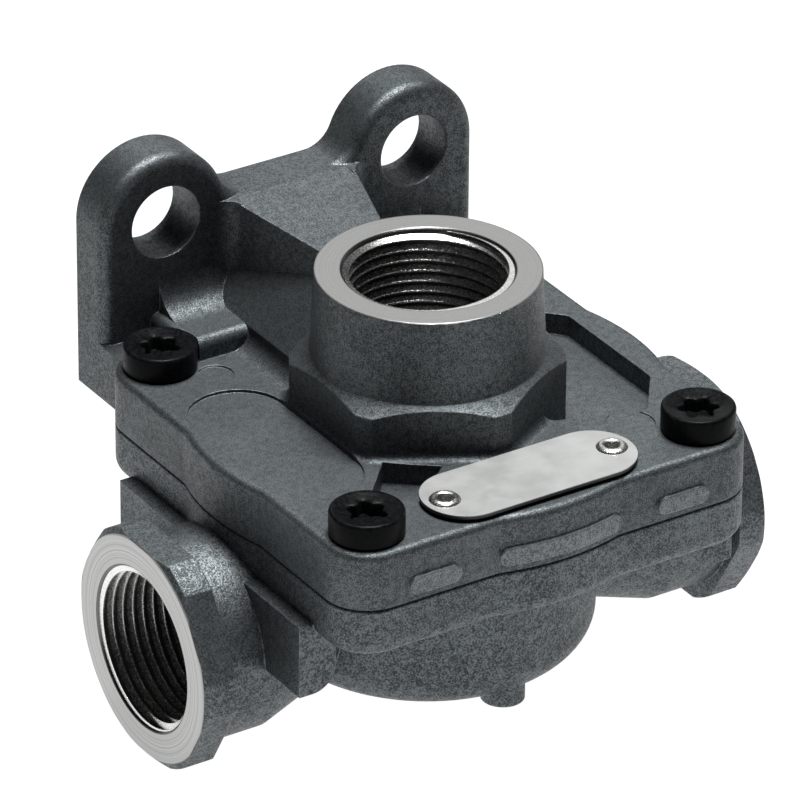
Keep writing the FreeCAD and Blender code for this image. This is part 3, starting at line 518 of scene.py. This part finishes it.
def turned_piece(name, material, foot, rows, segments=96):
    """A round piece about an upright axis, from rows of radius and height above its foot.

    A radius may be a function of the angle. The first and last rows close to a point.
    """
    shape = bmesh.new()
    loops = []
    for radius, height in rows[1:-1]:
        loop = []
        for i in range(segments):
            angle = 2 * pi * i / segments
            reach = radius(angle) if callable(radius) else radius
            corner = Vector((reach * cos(angle), reach * sin(angle), height))
            loop.append(shape.verts.new(corner + foot))
        loops.append(loop)
    for near, far in zip(loops, loops[1:]):
        for i in range(segments):
            j = (i + 1) % segments
            shape.faces.new((near[i], near[j], far[j], far[i]))
    for (_, height), loop in ((rows[0], loops[0]), (rows[-1], loops[-1])):
        tip = shape.verts.new(Vector((0, 0, height)) + foot)
        for i in range(segments):
            shape.faces.new((tip, loop[i], loop[(i + 1) % segments]))
    return finish_piece(shape, name, material)


def port_thread(name, material, mount):
    """Helical ridge on the wall of a port, cut off by the port's face."""
    axis = Vector(mount["axis"])
    side = axis.orthogonal().normalized()
    other = axis.cross(side)
    length = mount["dims"]["length_mm"] * MM
    start = Vector(mount["pos_m"]) - axis * length / 2
    turns = int(length / THREAD_PITCH - 0.5) + 1
    shape = bmesh.new()
    slope = (THREAD_PITCH - THREAD_ROOT - THREAD_CREST) / 2
    profile = [(-THREAD_CREST / 2 - slope, 0.0), (-THREAD_CREST / 2, 1.0),
               (THREAD_CREST / 2, 1.0), (THREAD_CREST / 2 + slope, 0.0)]
    rings = []
    for step in range(turns * THREAD_STEPS + 1):
        angle = 2 * pi * step / THREAD_STEPS
        out = side * cos(angle) + other * sin(angle)
        height = length + PAST_FACE - turns * THREAD_PITCH + step / THREAD_STEPS * THREAD_PITCH
        fade = min(1.0, step / THREAD_STEPS * 2)
        cut = min(1.0, max(0.0, (length - height + THREAD_CREST / 2 + slope) / slope))
        ring = []
        for offset, lift in profile:
            lift = min(lift, cut)
            radius = PORT_RADIUS + WALL_BITE * (1 - lift) - THREAD_DEPTH * lift * fade
            along = min(height + offset, length)
            ring.append(shape.verts.new(start + axis * along + out * radius))
        rings.append(ring)
    count = len(profile)
    for near, far in zip(rings, rings[1:]):
        for i in range(count):
            j = (i + 1) % count
            shape.faces.new((near[i], near[j], far[j], far[i]))
    shape.faces.new(rings[0])
    shape.faces.new(rings[-1])
    bmesh.ops.remove_doubles(shape, verts=shape.verts, dist=1e-7)
    made = finish_piece(shape, name, material, sharp=25)
    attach(made, "housing")


def top_middle(node, rise):
    """The point on a node's upright middle line that lies a rise below its top."""
    low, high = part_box(node)
    return Vector(((low.x + high.x) / 2, (low.y + high.y) / 2, high.z - rise))


def cover_screw(node, material, turn_angle):
    """Cheese head screw, with a dished top and its recess turned by an angle."""

    def lobed(share):
        return lambda angle: share * (LOBE_MEAN + LOBE_DEEP * cos(LOBES * (angle - turn_angle)))

    top = SCREW_TALL
    rows = [
        (0, top - RECESS_DEEP), (lobed(0.45), top - RECESS_DEEP),
        (lobed(0.90), top - RECESS_DEEP), (lobed(0.96), top - RECESS_DEEP * 0.85),
        (lobed(0.98), top - 0.62 * MM), (lobed(1.03), top - 0.46 * MM),
        (lobed(1.09), top - 0.40 * MM), (3.20 * MM, top - 0.30 * MM),
        (3.80 * MM, top - 0.16 * MM), (4.25 * MM, top - 0.03 * MM), (4.42 * MM, top),
        (4.60 * MM, top - 0.05 * MM), (4.77 * MM, top - 0.18 * MM),
        (SCREW_HEAD, top - 0.42 * MM), (SCREW_HEAD, 0.30 * MM), (4.62 * MM, 0.0),
        (SHANK_RADIUS, 0.0), (SHANK_RADIUS, 0.6 * MM - SHANK_LONG),
        (2.4 * MM, -SHANK_LONG), (0, -SHANK_LONG)]
    made = turned_piece(f"{node}_finished", material, top_middle(node, SCREW_TALL), rows)
    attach(made, "housing")
    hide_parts(node)


def label_rivet(node, material):
    """Tubular rivet with a rolled head."""
    rows = [
        (0, -RIVET_HOLE), (0.90 * MM, -RIVET_HOLE), (0.92 * MM, 0.10 * MM),
        (1.00 * MM, 0.30 * MM), (1.22 * MM, 0.43 * MM), (1.42 * MM, RIVET_RISE),
        (1.66 * MM, 0.39 * MM), (1.90 * MM, 0.22 * MM), (2.04 * MM, 0.10 * MM),
        (2.09 * MM, 0.0), (1.2 * MM, -0.02 * MM), (1.2 * MM, -5.4 * MM), (0, -5.45 * MM)]
    foot = top_middle(node, RIVET_RISE)
    made = turned_piece(f"{node}_finished", material, foot, rows, segments=64)
    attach(made, "housing")
    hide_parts(node)


def dress(node, material):
    """Give a node of the frame its material."""
    piece = NODES[node]
    piece.data.materials.clear()
    piece.data.materials.append(material)


def rubbed_bars():
    """Boxes round the faces of the raised bars."""
    boxes = []
    for middle, half in BARS:
        on_middle = middle == 0.0
        front = FRONT if on_middle else FRONT + SIDE_BAR_BACK
        low = Vector((middle - half, front - BAR_BEFORE, BAR_HEIGHT - BAR_HALF))
        high = Vector((middle + half, front + BAR_BEHIND, BAR_HEIGHT + BAR_HALF))
        if on_middle:
            high += Vector((0, MIDDLE_BAR_DEEP, 0))
        boxes.append((low, high))
    return boxes


def pieces():
    """Dresses the nodes of the frame, and adds the screws, rivets and threads."""
    cover = cast_metal("cover_casting", "supply", COVER_DARK, COVER_LIGHT,
                       grain=0.20 * MM, speck=0.2, depth=0.038 * MM, rubbed=rubbed_bars())
    base = cast_metal("base_casting", "delivery", BASE_DARK, BASE_LIGHT,
                      grain=0.26 * MM, speck=0.35, depth=0.062 * MM)
    dress("upper_housing", cover)
    dress("lower_housing", base)
    rubber = black_rubber()
    dress("diaphragm", rubber)
    dress("housing_seal", rubber)
    dress("label_plate", satin_plate())
    screw = black_steel()
    for i, node in enumerate(sorted(name for name in NODES if name.startswith("cover_screw"))):
        cover_screw(node, screw, turn_angle=FIRST_TURN + NEXT_TURN * i)
    rivet = bright_steel("rivet_steel", RIVET_DARK, RIVET_LIGHT, 0.22, 0.38)
    for node in ("label_rivet_left", "label_rivet_right"):
        label_rivet(node, rivet)
    thread = bright_steel("thread_metal", THREAD_DARK, THREAD_LIGHT, 0.20, 0.30)
    port_thread("supply_thread", thread, SUPPLY)
    for mount, side in zip(DELIVERY, ("left", "right")):
        port_thread(f"delivery_thread_{side}", thread, mount)


def photograph_camera():
    """Camera that looks at the valve from the photograph's angle."""
    right = Vector((cos(AZIMUTH), -sin(AZIMUTH), 0))
    ahead = Vector((sin(AZIMUTH) * cos(ELEVATION), cos(AZIMUTH) * cos(ELEVATION),
                    -sin(ELEVATION)))
    up = right.cross(ahead)
    right, up = cos(ROLL) * right - sin(ROLL) * up, sin(ROLL) * right + cos(ROLL) * up
    data = bpy.data.cameras.new("camera")
    data.lens = LENS
    data.sensor_width = SENSOR
    data.clip_end = 10.0
    camera = bpy.data.objects.new("camera", data)
    turn = Matrix((right, up, -ahead)).transposed()
    camera.matrix_world = Matrix.Translation(
        AIM - ahead * DISTANCE + right * SIDEWAYS + up * UPWARDS) @ turn.to_4x4()
    bpy.context.scene.collection.objects.link(camera)
    bpy.context.scene.camera = camera


def soft_light(name, place_at, size, power):
    """A square light that faces the valve."""
    data = bpy.data.lights.new(name, "AREA")
    data.size = size
    data.energy = power
    light = bpy.data.objects.new(name, data)
    light.location = place_at
    light.rotation_euler = (AIM - Vector(place_at)).to_track_quat("-Z", "Y").to_euler()
    bpy.context.scene.collection.objects.link(light)


def studio():
    """Pale floor, faint surrounding light and three soft lights."""
    bpy.ops.mesh.primitive_plane_add(size=FLOOR_SIZE, location=(0, 0, CAD_LOW[2]))
    floor = bpy.context.object
    floor.name = "floor"
    floor.data.materials.append(pale_floor())
    world = bpy.data.worlds.new("studio")
    world.use_nodes = True
    background = world.node_tree.nodes["Background"].inputs
    background["Color"].default_value = WHITE
    background["Strength"].default_value = WORLD_STRENGTH
    bpy.context.scene.world = world
    bpy.context.scene.view_settings.view_transform = "Standard"
    for name, place_at, size, power in LIGHTS:
        soft_light(name, place_at, size, power)


photograph_camera()
studio()
pieces()
